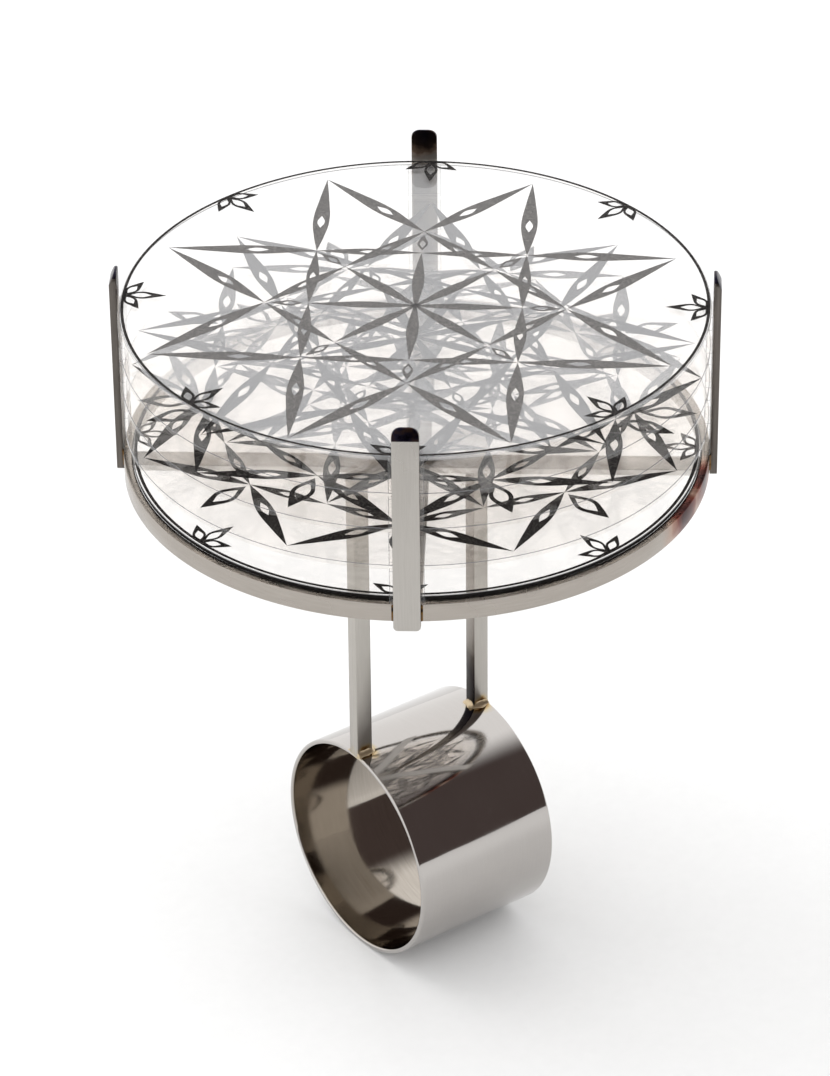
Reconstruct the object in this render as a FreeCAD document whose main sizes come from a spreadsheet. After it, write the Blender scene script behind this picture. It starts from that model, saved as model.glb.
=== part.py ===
"""Statement finger ring: five clear discs in four claws above a wide band.

Frame: origin at the centre of the finger bore, +X along the finger, +Z up
towards the discs. Millimetres.
"""
import os

import FreeCAD
import Part
import Sketcher

vector = FreeCAD.Vector
UP = vector(0, 0, 1)
SAME_LENGTH = 1e-6      # two lengths this close are the same
FIRST_RADIUS = 10.0     # what a circle starts at, before its radius is bound

# Driving dimensions. Heights are measured up from the finger's axis.
SIZES = [
    # finger band
    ("bore_radius", 9.1),
    ("band_wall", 0.4),
    ("band_width", 13.4),
    ("band_edge_round", 0.12),
    # posts that stand on the band, and the bridge between their tops
    ("post_along", 1.5),
    ("post_across", 1.1),
    ("bridge_deep", 1.05),
    ("bridge_wide", 1.5),
    # hoop that holds the base disc
    ("hoop_radius", 23.4),
    ("hoop_wall", 0.7),
    ("hoop_tall", 1.6),
    ("hoop_top", 36.9),
    ("hoop_edge_break", 0.08),
    # crossbars under the hoop
    ("bar_wide", 2.1),
    ("bar_thick", 0.55),
    # claws outside the hoop
    ("claw_turn", 52.0),
    ("claw_wide", 2.1),
    ("claw_thick", 0.6),
    ("claw_above", 2.7),
    ("claw_below", 0.5),
    ("claw_tip_round", 0.55),
    ("claw_tip_bevel", 0.9),
    ("claw_tip_slope", 0.4),
    # discs: the top face of each one
    ("top_one", 50.0),
    ("top_two", 46.75),
    ("top_three", 43.6),
    ("top_four", 40.3),
    ("top_five", 37.2),
    ("disc_radius", 23.25),
    ("disc_thick", 0.4),
    ("base_disc_radius", 22.68),
    # clear spacers that keep the discs apart
    ("spacer_wide", 2.7),
    ("spacer_thick", 0.5),
    ("spacer_play", 0.05),
    # solder
    ("foot_solder_reach", 0.7),
    ("foot_solder_tall", 0.8),
    ("foot_solder_lip", 0.12),
    ("claw_solder_leg", 0.35),
    # how far a cutting shape reaches past the face that it cuts
    ("overrun", 1.0),
]

DISC_LEVELS = ["top_one", "top_two", "top_three", "top_four"]
DISC_NAMES = ["top_disc", "second_disc", "third_disc", "fourth_disc"]
SPACER_LEVELS = ["upper", "middle", "lower", "base"]
CLAW_SIDES = [("claw_rear", 0), ("claw_left", 90), ("claw_front", 180), ("claw_right", 270)]

doc = FreeCAD.newDocument("kaleidoscope_ring")
sheet = doc.addObject("Spreadsheet::Sheet", "sizes")
for row, (alias, number) in enumerate(SIZES, start=1):
    sheet.set(f"A{row}", alias)
    sheet.set(f"B{row}", str(number))
    sheet.setAlias(f"B{row}", alias)
doc.recompute()

pieces = []


def size(alias):
    """Return a driving dimension's number."""
    return float(sheet.get(alias))


def origin_plane(body, role):
    """Return one of a body's own origin planes."""
    return next(plane for plane in body.Origin.OriginFeatures if plane.Role == role)


def new_body(label):
    """Add a body that becomes one node."""
    body = doc.addObject("PartDesign::Body", label)
    body.Label = label
    pieces.append(body)
    return body


def new_sketch(body, role, name):
    """Add a sketch on one of the body's origin planes."""
    sketch = body.newObject("Sketcher::SketchObject", name)
    sketch.AttachmentSupport = [(origin_plane(body, role), "")]
    sketch.MapMode = "FlatFace"
    return sketch


def add_circle(sketch, alias_text, name):
    """Add a circle about the sketch's origin, with its radius bound."""
    index = sketch.addGeometry(Part.Circle(vector(), UP, FIRST_RADIUS), False)
    sketch.addConstraint(Sketcher.Constraint("Coincident", index, 3, -1, 1))
    sketch.addConstraint(Sketcher.Constraint("Radius", index, FIRST_RADIUS))
    number = sketch.ConstraintCount - 1
    sketch.renameConstraint(number, name)
    sketch.setExpression(f"Constraints.{name}", alias_text)


def new_pad(body, sketch, length_text, midplane=False):
    """Pad a sketch by a bound length."""
    pad = body.newObject("PartDesign::Pad", f"{body.Name}_pad")
    pad.Profile = sketch
    pad.setExpression("Length", length_text)
    pad.Midplane = midplane
    sketch.Visibility = False
    return pad


def round_circular_edges(body, kind, size_text):
    """Fillet or chamfer every circular edge of the body's last feature."""
    doc.recompute()
    base = body.Tip
    names = [f"Edge{number}" for number, edge in enumerate(base.Shape.Edges, start=1)
             if isinstance(edge.Curve, Part.Circle)]
    feature = body.newObject(f"PartDesign::{kind}", f"{body.Name}_{kind.lower()}")
    feature.Base = (base, names)
    feature.setExpression("Radius" if kind == "Fillet" else "Size", size_text)


def keep_primitive(piece, label):
    """Give a primitive or a boolean its label and make it a node."""
    piece.Label = label
    pieces.append(piece)
    return piece


def centred_box(name, long_text, wide_text, tall_text, base_text, x_text="0", turn_text=None):
    """Add a box centred on x_text, 0 with its floor at base_text, turned about +Z."""
    box = doc.addObject("Part::Box", name)
    box.setExpression("Length", long_text)
    box.setExpression("Width", wide_text)
    box.setExpression("Height", tall_text)
    if turn_text is None:
        box.setExpression("Placement.Base.x", f"({x_text}) - ({long_text}) / 2")
        box.setExpression("Placement.Base.y", f"-({wide_text}) / 2")
    else:
        # Any first turn sets the axis, and the angle is then bound.
        box.Placement = FreeCAD.Placement(vector(), FreeCAD.Rotation(UP, 1))
        box.setExpression("Placement.Rotation.Angle", turn_text)
        turn = f"(({turn_text}) * 1 deg)"
        near = f"(({x_text}) - ({long_text}) / 2)"
        side = f"(-({wide_text}) / 2)"
        box.setExpression("Placement.Base.x", f"{near} * cos({turn}) - {side} * sin({turn})")
        box.setExpression("Placement.Base.y", f"{near} * sin({turn}) + {side} * cos({turn})")
    box.setExpression("Placement.Base.z", base_text)
    return box


def cut(name, base, tool):
    """Cut one object from another."""
    result = doc.addObject("Part::Cut", name)
    result.Base = base
    result.Tool = tool
    return result


def band_solid(name, radius_text):
    """Add a solid cylinder along the finger's axis, longer than the band."""
    cylinder = doc.addObject("Part::Cylinder", name)
    cylinder.setExpression("Radius", radius_text)
    cylinder.setExpression("Height", "sizes.band_width * 2")
    cylinder.Placement = FreeCAD.Placement(vector(), FreeCAD.Rotation(vector(0, 1, 0), 90))
    cylinder.setExpression("Placement.Base.x", "-sizes.band_width")
    return cylinder


# Finger band: a wide thin tube with softened rims.
band = new_body("finger_band")
band_sketch = new_sketch(band, "YZ_Plane", "band_section")
add_circle(band_sketch, "sizes.bore_radius", "inner")
add_circle(band_sketch, "sizes.bore_radius + sizes.band_wall", "outer")
new_pad(band, band_sketch, "sizes.band_width", midplane=True)
round_circular_edges(band, "Fillet", "sizes.band_edge_round")

# Posts: bars that stand on the band's crown, one at each rim.
BAND_OUTER = "(sizes.bore_radius + sizes.band_wall)"
HOOP_FLOOR = "(sizes.hoop_top - sizes.hoop_tall)"
POST_TOP = f"({HOOP_FLOOR} + sizes.bridge_deep)"
POST_OFFSET = "(sizes.band_width / 2 - sizes.post_along / 2)"
for label, sign in (("post_front", "-1"), ("post_rear", "1")):
    bar = centred_box(f"{label}_bar", "sizes.post_along", "sizes.post_across",
                      f"{POST_TOP} - sizes.bore_radius", "sizes.bore_radius",
                      f"{sign} * {POST_OFFSET}")
    foot = band_solid(f"{label}_foot_shape", BAND_OUTER)
    keep_primitive(cut(label, bar, foot), label)

# Bridge: lies on the crossbars and joins the tops of the posts.
bridge = centred_box("bridge_bar", f"2 * {POST_OFFSET} - sizes.post_along",
                     "sizes.bridge_wide", "sizes.bridge_deep", HOOP_FLOOR)
keep_primitive(bridge, "bridge_bar")

# Solder at the feet: a cone around each post, trimmed to the band and the post.
SOLDER_TALL = f"{BAND_OUTER} - sizes.bore_radius + sizes.foot_solder_tall"
for label, sign in (("foot_solder_front", "-1"), ("foot_solder_rear", "1")):
    cone = doc.addObject("Part::Cone", f"{label}_cone")
    cone.setExpression("Radius1", "sizes.post_along / 2 + sizes.foot_solder_reach")
    cone.setExpression("Radius2", "sizes.post_along / 2 + sizes.foot_solder_lip")
    cone.setExpression("Height", SOLDER_TALL)
    cone.setExpression("Placement.Base.x", f"{sign} * {POST_OFFSET}")
    cone.setExpression("Placement.Base.z", "sizes.bore_radius")
    reach = "(2 * sizes.foot_solder_reach + sizes.post_along)"
    block = centred_box(f"{label}_block", reach, reach, "sizes.bore_radius",
                        "sizes.bore_radius - sizes.overrun",
                        f"{sign} * (sizes.band_width / 2 - {reach} / 2)")
    inside = doc.addObject("Part::Common", f"{label}_inside")
    inside.Base = cone
    inside.Tool = block
    over_band = cut(f"{label}_over_band", inside, band_solid(f"{label}_band", BAND_OUTER))
    post_space = centred_box(f"{label}_post_space", "sizes.post_along", "sizes.post_across",
                             f"{SOLDER_TALL} + 2 * sizes.overrun",
                             "sizes.bore_radius - sizes.overrun",
                             f"{sign} * {POST_OFFSET}")
    keep_primitive(cut(label, over_band, post_space), label)

# Hoop: a flat strip bent round, with its edges broken.
hoop = new_body("bezel_hoop")
hoop_sketch = new_sketch(hoop, "XY_Plane", "hoop_section")
add_circle(hoop_sketch, "sizes.hoop_radius - sizes.hoop_wall", "inner")
add_circle(hoop_sketch, "sizes.hoop_radius", "outer")
new_pad(hoop, hoop_sketch, "sizes.hoop_tall")
round_circular_edges(hoop, "Chamfer", "sizes.hoop_edge_break")
hoop.setExpression("Placement.Base.z", HOOP_FLOOR)

# Crossbars: flat strips under the hoop, halved into each other at the middle.
BAR_FLOOR = f"({HOOP_FLOOR} - sizes.bar_thick)"
for label, turn, notch_floor in (
        ("crossbar_long", "sizes.claw_turn", f"{BAR_FLOOR} + sizes.bar_thick / 2"),
        ("crossbar_side", "sizes.claw_turn + 90", BAR_FLOOR)):
    strip = centred_box(f"{label}_strip", "2 * sizes.hoop_radius", "sizes.bar_wide",
                        "sizes.bar_thick", BAR_FLOOR, "0", turn)
    notch = centred_box(f"{label}_notch", "sizes.bar_wide", "2 * sizes.bar_wide",
                        "sizes.bar_thick / 2", notch_floor, "0", turn)
    keep_primitive(cut(label, strip, notch), label)

# Claws: flat strips soldered upright to the outside of the hoop. Each tip has round
# corners and an outer face that slopes in.
CLAW_FLOOR = f"({HOOP_FLOOR} - sizes.claw_below)"
CLAW_LENGTH = f"(sizes.top_one + sizes.claw_above - {CLAW_FLOOR})"
for label, quarter in CLAW_SIDES:
    turn = f"sizes.claw_turn + {quarter}"
    strip = centred_box(f"{label}_strip", "sizes.claw_thick", "sizes.claw_wide", CLAW_LENGTH,
                        CLAW_FLOOR, "sizes.hoop_radius + sizes.claw_thick / 2", turn)
    doc.recompute()
    corners = [number for number, edge in enumerate(strip.Shape.Edges, start=1)
               if abs(edge.Length - size("claw_thick")) < SAME_LENGTH
               and edge.CenterOfMass.z > size("top_one")]
    tip = doc.addObject("Part::Fillet", f"{label}_tip")
    tip.Base = strip
    tip.Edges = [(number, size("claw_tip_round"), size("claw_tip_round")) for number in corners]
    wedge = doc.addObject("Part::Wedge", f"{label}_bevel")
    for corner, text in (("Xmin", "0"), ("Xmax", "sizes.claw_tip_slope"),
                         ("Ymin", "0"), ("Ymax", "sizes.claw_tip_bevel"),
                         ("Zmin", "0"), ("Zmax", "2 * sizes.claw_wide"),
                         ("X2min", "0"), ("X2max", "0"),
                         ("Z2min", "0"), ("Z2max", "2 * sizes.claw_wide")):
        wedge.setExpression(corner, text)
    # The wedge is drawn with its length up +Y, so it is stood upside down on the tip.
    angle = size("claw_turn") + quarter
    stand = FreeCAD.Rotation(vector(1, 0, 0), 90)
    flip = FreeCAD.Rotation(vector(0, 0, 1), 180)
    tip_top = size("top_one") + size("claw_above")
    outer_face = size("hoop_radius") + size("claw_thick")
    spin = FreeCAD.Rotation(UP, angle)
    place = spin.multVec(vector(outer_face, size("claw_wide"), tip_top))
    turned = spin.multiply(stand.multiply(flip))
    wedge.Placement = FreeCAD.Placement(place, turned)
    keep_primitive(cut(label, tip, wedge), label)

# Discs: the upper four turn between the claws, and the base disc sits in the hoop.
for label, level in zip(DISC_NAMES, DISC_LEVELS):
    disc = new_body(label)
    disc_sketch = new_sketch(disc, "XY_Plane", f"{label}_outline")
    add_circle(disc_sketch, "sizes.disc_radius", "rim")
    new_pad(disc, disc_sketch, "sizes.disc_thick")
    disc.setExpression("Placement.Base.z", f"sizes.{level} - sizes.disc_thick")
base_disc = new_body("base_disc")
base_sketch = new_sketch(base_disc, "XY_Plane", "base_disc_outline")
add_circle(base_sketch, "sizes.base_disc_radius", "rim")
new_pad(base_disc, base_sketch, "sizes.disc_thick")
base_disc.setExpression("Placement.Base.z", "sizes.top_five - sizes.disc_thick")

# Spacers: clear strips on the inner face of each claw, four at each level. The lowest
# ones stand on the hoop, and the others leave a little play for the disc below them.
FLOORS = [f"(sizes.{level} + sizes.spacer_play)" for level in DISC_LEVELS[1:]]
FLOORS.append("sizes.hoop_top")
for height, upper, floor_text in zip(SPACER_LEVELS, DISC_LEVELS, FLOORS):
    tall_text = f"sizes.{upper} - sizes.disc_thick - sizes.spacer_play - {floor_text}"
    for claw, quarter in CLAW_SIDES:
        label = f"spacer_{height}_{claw.removeprefix('claw_')}"
        strip = centred_box(label, "sizes.spacer_thick", "sizes.spacer_wide", tall_text,
                            floor_text, "sizes.hoop_radius - sizes.spacer_thick / 2",
                            f"sizes.claw_turn + {quarter}")
        keep_primitive(strip, label)

# Solder beads in the two corners between each claw and the hoop. One is drawn on +X and
# then turned to its claw.
leg = size("claw_solder_leg")
hoop_radius = size("hoop_radius")
hoop_floor = size("hoop_top") - size("hoop_tall")
hoop_core = Part.makeCylinder(hoop_radius, size("hoop_tall"), vector(0, 0, hoop_floor))
for claw, quarter in CLAW_SIDES:
    for number, side in enumerate((-1, 1), start=1):
        edge = side * size("claw_wide") / 2
        reach = edge + side * leg
        corners = [vector((hoop_radius ** 2 - edge ** 2) ** 0.5, edge, hoop_floor),
                   vector(hoop_radius + leg, edge, hoop_floor),
                   vector((hoop_radius ** 2 - reach ** 2) ** 0.5, reach, hoop_floor)]
        outline = Part.Face(Part.makePolygon(corners + corners[:1]))
        bead = outline.extrude(vector(0, 0, size("hoop_tall")))
        label = f"claw_solder_{claw.removeprefix('claw_')}_{number}"
        solder = doc.addObject("Part::Feature", label)
        solder.Shape = bead.cut(hoop_core).Solids[0]
        turn = FreeCAD.Rotation(UP, size("claw_turn") + quarter)
        solder.Placement = FreeCAD.Placement(vector(), turn)
        keep_primitive(solder, label)

doc.recompute()

for item in doc.Objects:
    if "Invalid" in item.State or "Error" in item.State:
        raise RuntimeError(f"{item.Label} failed: {item.State}")

os.makedirs("parts", exist_ok=True)
for piece in pieces:
    shape = piece.Shape
    if shape.isNull() or not shape.isValid() or not shape.Solids:
        raise RuntimeError(f"{piece.Label} has no valid solid")
    shape.exportStep(f"parts/{piece.Label}.step")
    box = shape.optimalBoundingBox(False)
    print(f"{piece.Label:20s} solids {len(shape.Solids)} volume {shape.Volume:9.3f} "
          f"z {box.ZMin:7.3f} {box.ZMax:7.3f} x {box.XMin:7.3f} {box.XMax:7.3f}")
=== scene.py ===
"""Statement finger ring: five clear discs in four claws above a wide polished band."""
from __future__ import annotations

import logging
import math
from dataclasses import dataclass
from enum import Enum
from functools import lru_cache
from typing import Any, Callable, Mapping, Sequence

import bmesh
import bpy
from mathutils import Matrix, Vector, noise


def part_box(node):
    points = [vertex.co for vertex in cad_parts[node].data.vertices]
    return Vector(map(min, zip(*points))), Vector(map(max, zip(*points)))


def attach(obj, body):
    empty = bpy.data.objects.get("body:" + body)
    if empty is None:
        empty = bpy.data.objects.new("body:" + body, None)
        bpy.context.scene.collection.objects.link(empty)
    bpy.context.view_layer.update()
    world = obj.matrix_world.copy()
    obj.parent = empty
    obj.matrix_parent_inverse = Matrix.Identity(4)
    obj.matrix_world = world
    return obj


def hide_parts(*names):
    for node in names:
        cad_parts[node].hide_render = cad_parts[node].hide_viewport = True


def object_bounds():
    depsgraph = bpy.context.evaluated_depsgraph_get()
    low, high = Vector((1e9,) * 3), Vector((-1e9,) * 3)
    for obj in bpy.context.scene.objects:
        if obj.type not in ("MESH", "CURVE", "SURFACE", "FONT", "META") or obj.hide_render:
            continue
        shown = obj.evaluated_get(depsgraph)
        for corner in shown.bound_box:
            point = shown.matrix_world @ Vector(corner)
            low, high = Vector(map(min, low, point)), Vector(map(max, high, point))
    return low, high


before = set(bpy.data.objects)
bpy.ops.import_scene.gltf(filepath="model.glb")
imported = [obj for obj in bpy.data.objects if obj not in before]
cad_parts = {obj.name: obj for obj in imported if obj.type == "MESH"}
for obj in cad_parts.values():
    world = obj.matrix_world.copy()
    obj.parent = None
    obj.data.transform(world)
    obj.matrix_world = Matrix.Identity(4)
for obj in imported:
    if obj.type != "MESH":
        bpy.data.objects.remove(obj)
CAD_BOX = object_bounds()

LOG = logging.getLogger("finger_ring")
MM = 0.001
FOLDS = 8
SECTOR = 360 / FOLDS
HALF_SECTOR = SECTOR / 2
ROOT_BODY = "ring_frame"
CLAW_SIDES = ("rear", "left", "front", "right")
# The colour sockets of a Mix node, and its colour output.
MIX_A, MIX_B, MIX_OUT = 6, 7, 2
# Levels and offsets closer than this are the same, in millimetres.
SAME = 1e-4

Socket = bpy.types.NodeSocket
Tree = bpy.types.NodeTree
Point = tuple[float, float, float]


# ---- measures


def box_mm(node: str) -> tuple[Vector, Vector]:
    """Return a CAD node's lowest and highest corner in millimetres."""
    low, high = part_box(node)
    return low / MM, high / MM


def node_angle(node: str) -> float:
    """Return the direction of a CAD node about +Z, in radians."""
    low, high = box_mm(node)
    middle = (low + high) / 2
    return math.atan2(middle.y, middle.x)


def disc_body(node: str) -> str:
    """Return the body that a disc belongs to."""
    return ROOT_BODY if node == "base_disc" else node


def polar(radius: float, degrees: float) -> Vector:
    """Return a point on the disc plane from its radius and its angle about +Z."""
    turn = math.radians(degrees)
    return Vector((radius * math.cos(turn), radius * math.sin(turn), 0.0))


# ---- materials


def linear(code: str) -> tuple[float, float, float, float]:
    """Turn an sRGB hex code, such as "c0b8a8", into linear red, green, blue and alpha."""
    parts = [int(code[place:place + 2], 16) / 255 for place in (0, 2, 4)]
    turned = [c / 12.92 if c <= 0.04045 else ((c + 0.055) / 1.055) ** 2.4 for c in parts]
    return turned[0], turned[1], turned[2], 1.0


def add_node(tree: Tree, kind: str, settings: Mapping[Any, Any] | None = None,
             links: Mapping[Any, Socket] | None = None) -> bpy.types.Node:
    """Add a shader node with its settings and links.

    Args:
        tree: The node tree that it goes in.
        kind: The node's type.
        settings: Values by name. A name in lower case is a property of the node, and
            any other name or number is an input socket.
        links: Output sockets by the name or number of the input that they feed.

    Returns:
        The new node.
    """
    node = tree.nodes.new(kind)
    for name, value in (settings or {}).items():
        if isinstance(name, str) and name[0].islower():
            setattr(node, name, value)
        else:
            node.inputs[name].default_value = value
    for name, socket in (links or {}).items():
        tree.links.new(socket, node.inputs[name])
    return node


def speckle(tree: Tree, apart: float, detail: float = 2.0, roughness: float = 0.5,
            stretch: Point = (1, 1, 1)) -> Socket:
    """Return a noise that is fixed to the piece.

    Args:
        tree: The node tree.
        apart: How far apart its features are, in millimetres.
        detail: How many finer layers it has.
        roughness: How strong they are.
        stretch: How its features are stretched on each axis.

    Returns:
        The socket of the noise's value.
    """
    place = add_node(tree, "ShaderNodeTexCoord").outputs["Object"]
    place = add_node(tree, "ShaderNodeMapping", {"Scale": stretch}, {"Vector": place})
    return add_node(tree, "ShaderNodeTexNoise",
                    {"Scale": 1 / (apart * MM), "Detail": detail, "Roughness": roughness},
                    {"Vector": place.outputs[0]}).outputs[0]


def blend(tree: Tree, share: Socket, first: str, second: str) -> Socket:
    """Return a colour that goes from one hex code to another."""
    return add_node(tree, "ShaderNodeMix",
                    {"data_type": "RGBA", MIX_A: linear(first), MIX_B: linear(second)},
                    {0: share}).outputs[MIX_OUT]


def ramp(tree: Tree, value: Socket, stops: Sequence[tuple[float, str]]) -> Socket:
    """Return the colour that a value has on a ramp.

    Args:
        tree: The node tree.
        value: The socket that is looked up.
        stops: Places from 0 to 1 with their hex codes, in order.

    Returns:
        The colour's socket.
    """
    node = add_node(tree, "ShaderNodeValToRGB", {}, {0: value})
    elements = node.color_ramp.elements
    while len(elements) < len(stops):
        elements.new(0.5)
    for element, (place, code) in zip(elements, stops):
        element.position, element.color = place, linear(code)
    return node.outputs[0]


def spread(tree: Tree, value: Socket, ends: Mapping[str, float],
           kind: str = "LINEAR") -> Socket:
    """Return a value moved from one range to another, each from 0 to 1 if not set."""
    return add_node(tree, "ShaderNodeMapRange", {"interpolation_type": kind, **ends},
                    {"Value": value}).outputs[0]


def bumped(tree: Tree, height: Socket, strength: float, depth: float,
           below: Socket | None = None) -> Socket:
    """Return the normal after a bump that is this many millimetres deep."""
    links = {"Height": height} if below is None else {"Height": height, "Normal": below}
    return add_node(tree, "ShaderNodeBump", {"Strength": strength, "Distance": depth * MM},
                    links).outputs[0]


def metal(tree: Tree, colour: Socket, roughness: Socket,
          normal: Socket | None = None) -> Socket:
    """Return a metal shader from its colour, roughness and normal."""
    links = {"Base Color": colour, "Roughness": roughness}
    if normal is not None:
        links["Normal"] = normal
    return add_node(tree, "ShaderNodeBsdfPrincipled", {"Metallic": 1.0}, links).outputs[0]


def see_through(tree: Tree, body: Socket, share: float) -> Socket:
    """Return a shader that is clear apart from this share of a body."""
    clear = add_node(tree, "ShaderNodeBsdfTransparent")
    return add_node(tree, "ShaderNodeMixShader", {0: share},
                    {1: clear.outputs[0], 2: body}).outputs[0]


def nearness(tree: Tree, spots: Sequence[Point], reach: float) -> Socket:
    """Return a value that rises from 0 to 1 as a spot comes near.

    Args:
        tree: The node tree.
        spots: Points in millimetres.
        reach: How far from a spot the value reaches 0, in millimetres.

    Returns:
        The socket of the largest value over the spots, with an uneven edge.
    """
    place = add_node(tree, "ShaderNodeTexCoord").outputs["Object"]
    uneven = speckle(tree, reach / 2, 3.0)
    largest = None
    for spot in spots:
        gap = add_node(tree, "ShaderNodeVectorMath",
                       {"operation": "DISTANCE", 1: Vector(spot) * MM}, {0: place})
        pushed = add_node(tree, "ShaderNodeMath",
                          {"operation": "MULTIPLY_ADD", 1: reach * MM * 0.6},
                          {0: uneven, 2: gap.outputs["Value"]}).outputs[0]
        value = spread(tree, pushed, {"From Min": reach * MM * 0.2,
                                      "From Max": reach * MM * 1.3,
                                      "To Min": 1.0, "To Max": 0.0}, "SMOOTHSTEP")
        if largest is not None:
            value = add_node(tree, "ShaderNodeMath", {"operation": "MAXIMUM"},
                             {0: largest, 1: value}).outputs[0]
        largest = value
    return largest


class Grain(Enum):
    """The way that sanding lines run, as the stretch of a noise."""

    UPRIGHT = (1.0, 1.0, 0.03)
    AROUND = (0.06, 0.06, 1.0)
    ACROSS_BAND = (1.0, 0.04, 0.04)


@dataclass(frozen=True)
class Finish:
    """A named surface finish that builds its material once."""

    name: str

    def material(self) -> bpy.types.Material:
        """Return this finish's material, made the first time that it is asked for."""
        known = bpy.data.materials.get(self.name)
        if known is not None:
            return known
        material = bpy.data.materials.new(self.name)
        material.use_nodes = True
        tree = material.node_tree
        tree.nodes.clear()
        add_node(tree, "ShaderNodeOutputMaterial", links={"Surface": self.surface(tree)})
        return material

    def surface(self, tree: Tree) -> Socket:
        """Build the shader and return its output socket."""
        raise NotImplementedError


@dataclass(frozen=True)
class Steel(Finish):
    """Stainless steel, polished or sanded, with oxide colours near its solder joints.

    Polished sheet mirrors with a slight waviness. Sanded strip has faint streaks. On some pieces
    the dark colours near a spot are painted shade.
    """

    colour: str = "b9b5af"
    streak: str = "aaa69f"
    roughness: tuple[float, float] = (0.24, 0.36)
    grain: Grain = Grain.UPRIGHT
    line_mm: float = 0.09
    wave: float = 0.0
    joints: tuple[Point, ...] = ()
    reach: float = 1.5
    tints: tuple[str, ...] = ("b9a988", "8c6a3c", "3d2a22")

    def surface(self, tree: Tree) -> Socket:
        """Build a metal whose lines drive its colour and bump, and clouds its gloss."""
        # Real lines are about 0.03 mm apart. They are drawn coarser so that they show.
        lines = speckle(tree, self.line_mm, 4.0, 0.6, self.grain.value)
        colour = blend(tree, lines, self.colour, self.streak)
        if self.joints:
            near = nearness(tree, self.joints, self.reach)
            count = len(self.tints)
            stops = [((place + 1) / count * 0.9, code) for place, code in enumerate(self.tints)]
            # Near the spots the colour goes to the tints: heat oxide on most pieces, painted
            # shade on the posts' inner faces.
            heat = ramp(tree, near, [(0.0, self.tints[0]), *stops])
            share = spread(tree, near, {"From Max": 0.35})
            colour = add_node(tree, "ShaderNodeMix", {"data_type": "RGBA"},
                              {0: share, MIX_A: colour, MIX_B: heat}).outputs[MIX_OUT]
        low, high = self.roughness
        gloss = spread(tree, speckle(tree, 3.5),
                       {"From Min": 0.3, "From Max": 0.7, "To Min": low, "To Max": high})
        normal = bumped(tree, lines, 0.12 if self.wave else 0.35, 0.004)
        if self.wave:
            normal = bumped(tree, speckle(tree, 5.0, 1.0), 1.0, self.wave, normal)
        return metal(tree, colour, gloss, normal)


@dataclass(frozen=True)
class Solder(Finish):
    """Hard solder: golden and rough, with brown-black flux stains in its hollows."""

    bright: str = "c9a56a"
    stain: str = "2a2019"

    def surface(self, tree: Tree) -> Socket:
        """Build a blotchy metal."""
        blotch = speckle(tree, 0.55, 5.0, 0.65)
        colour = ramp(tree, blotch, [(0.36, self.stain), (0.47, "7a5a30"),
                                     (0.60, self.bright)])
        gloss = spread(tree, blotch, {"To Min": 0.55, "To Max": 0.25})
        return metal(tree, colour, gloss, bumped(tree, blotch, 0.6, 0.05))


@dataclass(frozen=True)
class BlackOxide(Finish):
    """Heat-blackened steel: blue-black, still a little glossy, with a brown edge."""

    def surface(self, tree: Tree) -> Socket:
        """Build a dark metal with a blue to brown drift."""
        drift = speckle(tree, 0.8, 4.0)
        colour = ramp(tree, drift, [(0.35, "14121f"), (0.52, "221f2c"), (0.68, "3a2b24")])
        return metal(tree, colour, spread(tree, drift, {"To Min": 0.18, "To Max": 0.4}))


@dataclass(frozen=True)
class ClearAcrylic(Finish):
    """Polished clear sheet, with the mirror share that its index gives at each angle.

    Thin sheet hardly shifts what is behind it, so light goes straight through.
    """

    index: float = 1.49
    passed: str = "fefdfc"
    roughness: float = 0.015

    def surface(self, tree: Tree) -> Socket:
        """Build a clear and a mirror shader, mixed by the angle of the ray."""
        outward = add_node(tree, "ShaderNodeFresnel", {"IOR": self.index})
        inward = add_node(tree, "ShaderNodeFresnel", {"IOR": 1 / self.index})
        back = add_node(tree, "ShaderNodeNewGeometry").outputs["Backfacing"]
        share = add_node(tree, "ShaderNodeMix", {"data_type": "FLOAT"},
                         {0: back, 2: outward.outputs[0], 3: inward.outputs[0]})
        clear = add_node(tree, "ShaderNodeBsdfTransparent", {"Color": linear(self.passed)})
        mirror = add_node(tree, "ShaderNodeBsdfGlossy", {"Roughness": self.roughness})
        return add_node(tree, "ShaderNodeMixShader", {},
                        {0: share.outputs[0], 1: clear.outputs[0],
                         2: mirror.outputs[0]}).outputs[0]


@dataclass(frozen=True)
class PrintFilm(Finish):
    """Clear film under a print: a little milky, so what lies below looks pale."""

    veil: float = 0.26

    def surface(self, tree: Tree) -> Socket:
        """Build a see-through white with faint clouds in it."""
        milk = add_node(tree, "ShaderNodeBsdfPrincipled",
                        {"Roughness": 0.6, "Specular IOR Level": 0.2},
                        {"Base Color": blend(tree, speckle(tree, 4.0), "f8fafd", "f1f4f9")})
        return see_through(tree, milk.outputs[0], self.veil)


@dataclass(frozen=True)
class CutEdge(Finish):
    """The cut edge of acrylic sheet, which looks grey because it turns light aside."""

    tone: str = "4a4a4c"
    solid: float = 0.75

    def surface(self, tree: Tree) -> Socket:
        """Build a see-through grey with fine saw marks along the rim."""
        tone = blend(tree, speckle(tree, 0.6, 3.0), self.tone, "8e8e90")
        body = add_node(tree, "ShaderNodeBsdfPrincipled", {"Roughness": 0.25},
                        {"Base Color": tone})
        return see_through(tree, body.outputs[0], self.solid)


@dataclass(frozen=True)
class Toner(Finish):
    """Laser toner on clear sheet: matt black with pale pinholes between its grains."""

    dark: str = "171515"
    pale: str = "4d4a48"

    def surface(self, tree: Tree) -> Socket:
        """Build a grainy black."""
        # Toner grains are about 0.02 mm. They are drawn about 0.14 mm so that they show.
        grains = speckle(tree, 0.14, 3.0, 0.7)
        return add_node(tree, "ShaderNodeBsdfPrincipled",
                        {"Roughness": 0.75, "Specular IOR Level": 0.1},
                        {"Base Color": ramp(tree, grains, [(0.46, self.dark),
                                                           (0.66, self.pale)])}).outputs[0]


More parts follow.
